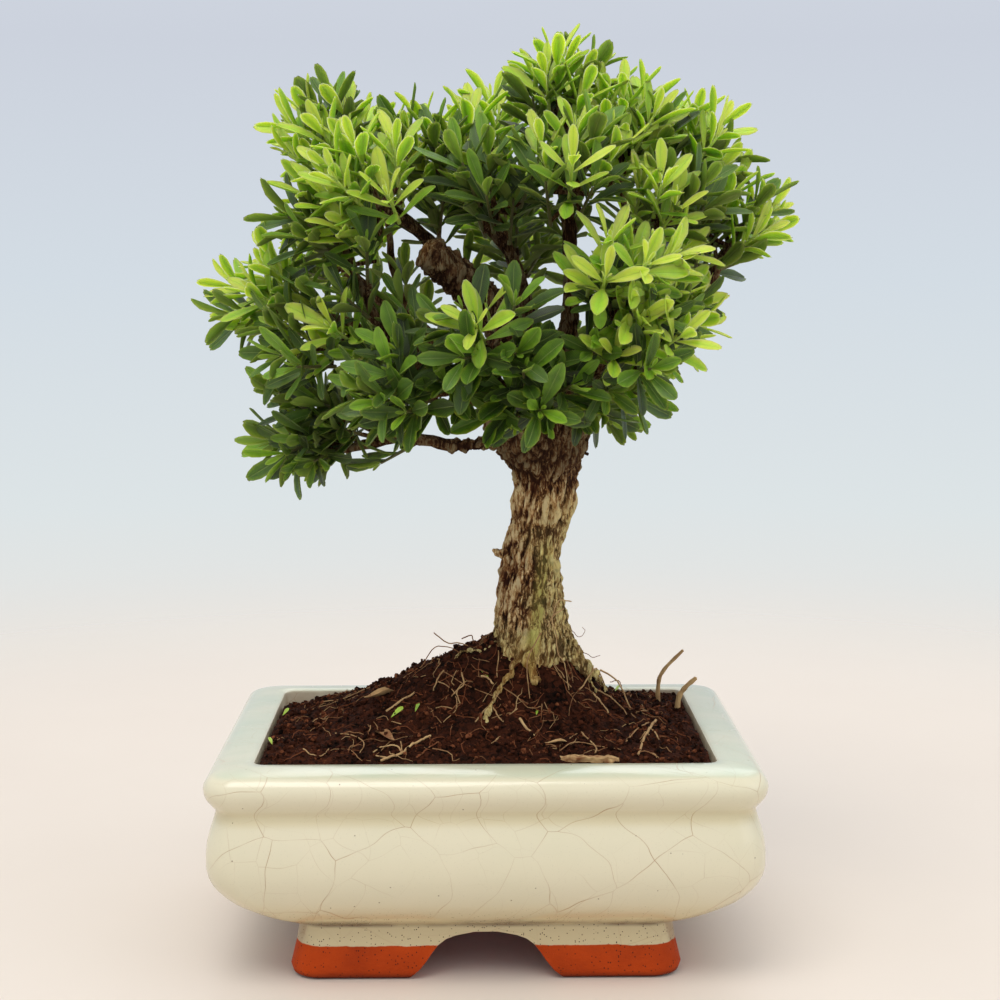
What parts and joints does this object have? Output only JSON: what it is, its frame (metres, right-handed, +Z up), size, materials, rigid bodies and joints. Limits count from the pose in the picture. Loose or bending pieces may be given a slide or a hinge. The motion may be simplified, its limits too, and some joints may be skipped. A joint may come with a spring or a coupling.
{
  "type": "bonsai",
  "caption": "Small broadleaf bonsai tree with a fissured trunk and rounded crown, growing in mounded soil in a rectangular glazed pot on cut-out feet.",
  "frame": {"origin": "centre of the whole part's bounding box, on the surface that the pot's feet stand on", "axes": "+Z up the trunk, +X along the pot's long side to the right as seen from the front, +Y from the front to the back"},
  "size_m": [0.2082, 0.1708, 0.3108],
  "materials": {
    "glazed_ceramic": "glossy pale celadon glaze with fine brown crackle, bluer where it pools on the rim, over bare terracotta feet",
    "bark": "rough, fissured, corky bark, brown with grey-green algae",
    "soil": "matt, crumbly dark red-brown peat with fibres",
    "young_leaf": "satin yellow-green leaf",
    "mature_leaf": "glossy dark green leaf",
    "dry_litter": "matt dry brown leaf",
    "black_plastic": "matt"
  },
  "bodies": {
    "root": {"pot": "glazed_ceramic", "drain_screen_left": "black_plastic", "drain_screen_right": "black_plastic", "soil": "soil", "root_end_tall": "bark", "root_end_short": "bark", "dry_leaf_left": "dry_litter", "dry_leaf_front": "dry_litter", "bark_chip": "bark", "trunk_and_branches": "bark", "shoot_left_tip_1": "young_leaf", "shoot_left_tip_2": "mature_leaf", "shoot_left_mid_1": "mature_leaf", "shoot_left_mid_2": "mature_leaf", "shoot_left_low_1": "mature_leaf", "shoot_left_low_2": "mature_leaf", "shoot_upper_left_low_1": "young_leaf", "shoot_upper_left_low_2": "mature_leaf", "shoot_upper_left_1": "young_leaf", "shoot_upper_left_2": "young_leaf", "shoot_upper_left_3": "mature_leaf", "shoot_upper_left_front_1": "young_leaf", "shoot_upper_left_front_2": "young_leaf", "shoot_upper_mid_left_1": "young_leaf", "shoot_upper_mid_left_2": "mature_leaf", "shoot_top_1": "young_leaf", "shoot_top_2": "young_leaf", "shoot_top_3": "mature_leaf", "shoot_top_right_1": "young_leaf", "shoot_top_right_2": "young_leaf", "shoot_upper_right_1": "young_leaf", "shoot_upper_right_2": "young_leaf", "shoot_right_1": "young_leaf", "shoot_right_2": "mature_leaf", "shoot_right_mid_1": "mature_leaf", "shoot_right_front_1": "young_leaf", "shoot_right_front_2": "young_leaf", "shoot_right_low_front_1": "young_leaf", "shoot_right_whorl_1": "young_leaf", "shoot_right_low_1": "mature_leaf", "shoot_centre_front_1": "young_leaf", "shoot_centre_front_2": "mature_leaf", "shoot_centre_low_1": "mature_leaf", "shoot_left_front_low_1": "mature_leaf", "shoot_left_front_low_2": "mature_leaf", "shoot_centre_up_1": "mature_leaf", "shoot_front_mid_1": "mature_leaf", "shoot_back_left_1": "young_leaf", "shoot_back_left_2": "mature_leaf", "shoot_back_left_low_1": "mature_leaf", "shoot_back_left_top_1": "young_leaf", "shoot_back_mid_1": "young_leaf", "shoot_back_mid_2": "mature_leaf", "shoot_back_top_1": "young_leaf", "shoot_back_right_1": "young_leaf", "shoot_back_right_2": "mature_leaf", "shoot_back_right_low_1": "mature_leaf", "shoot_back_right_top_1": "young_leaf", "shoot_back_right_top_2": "mature_leaf"}
  },
  "joints": []
}
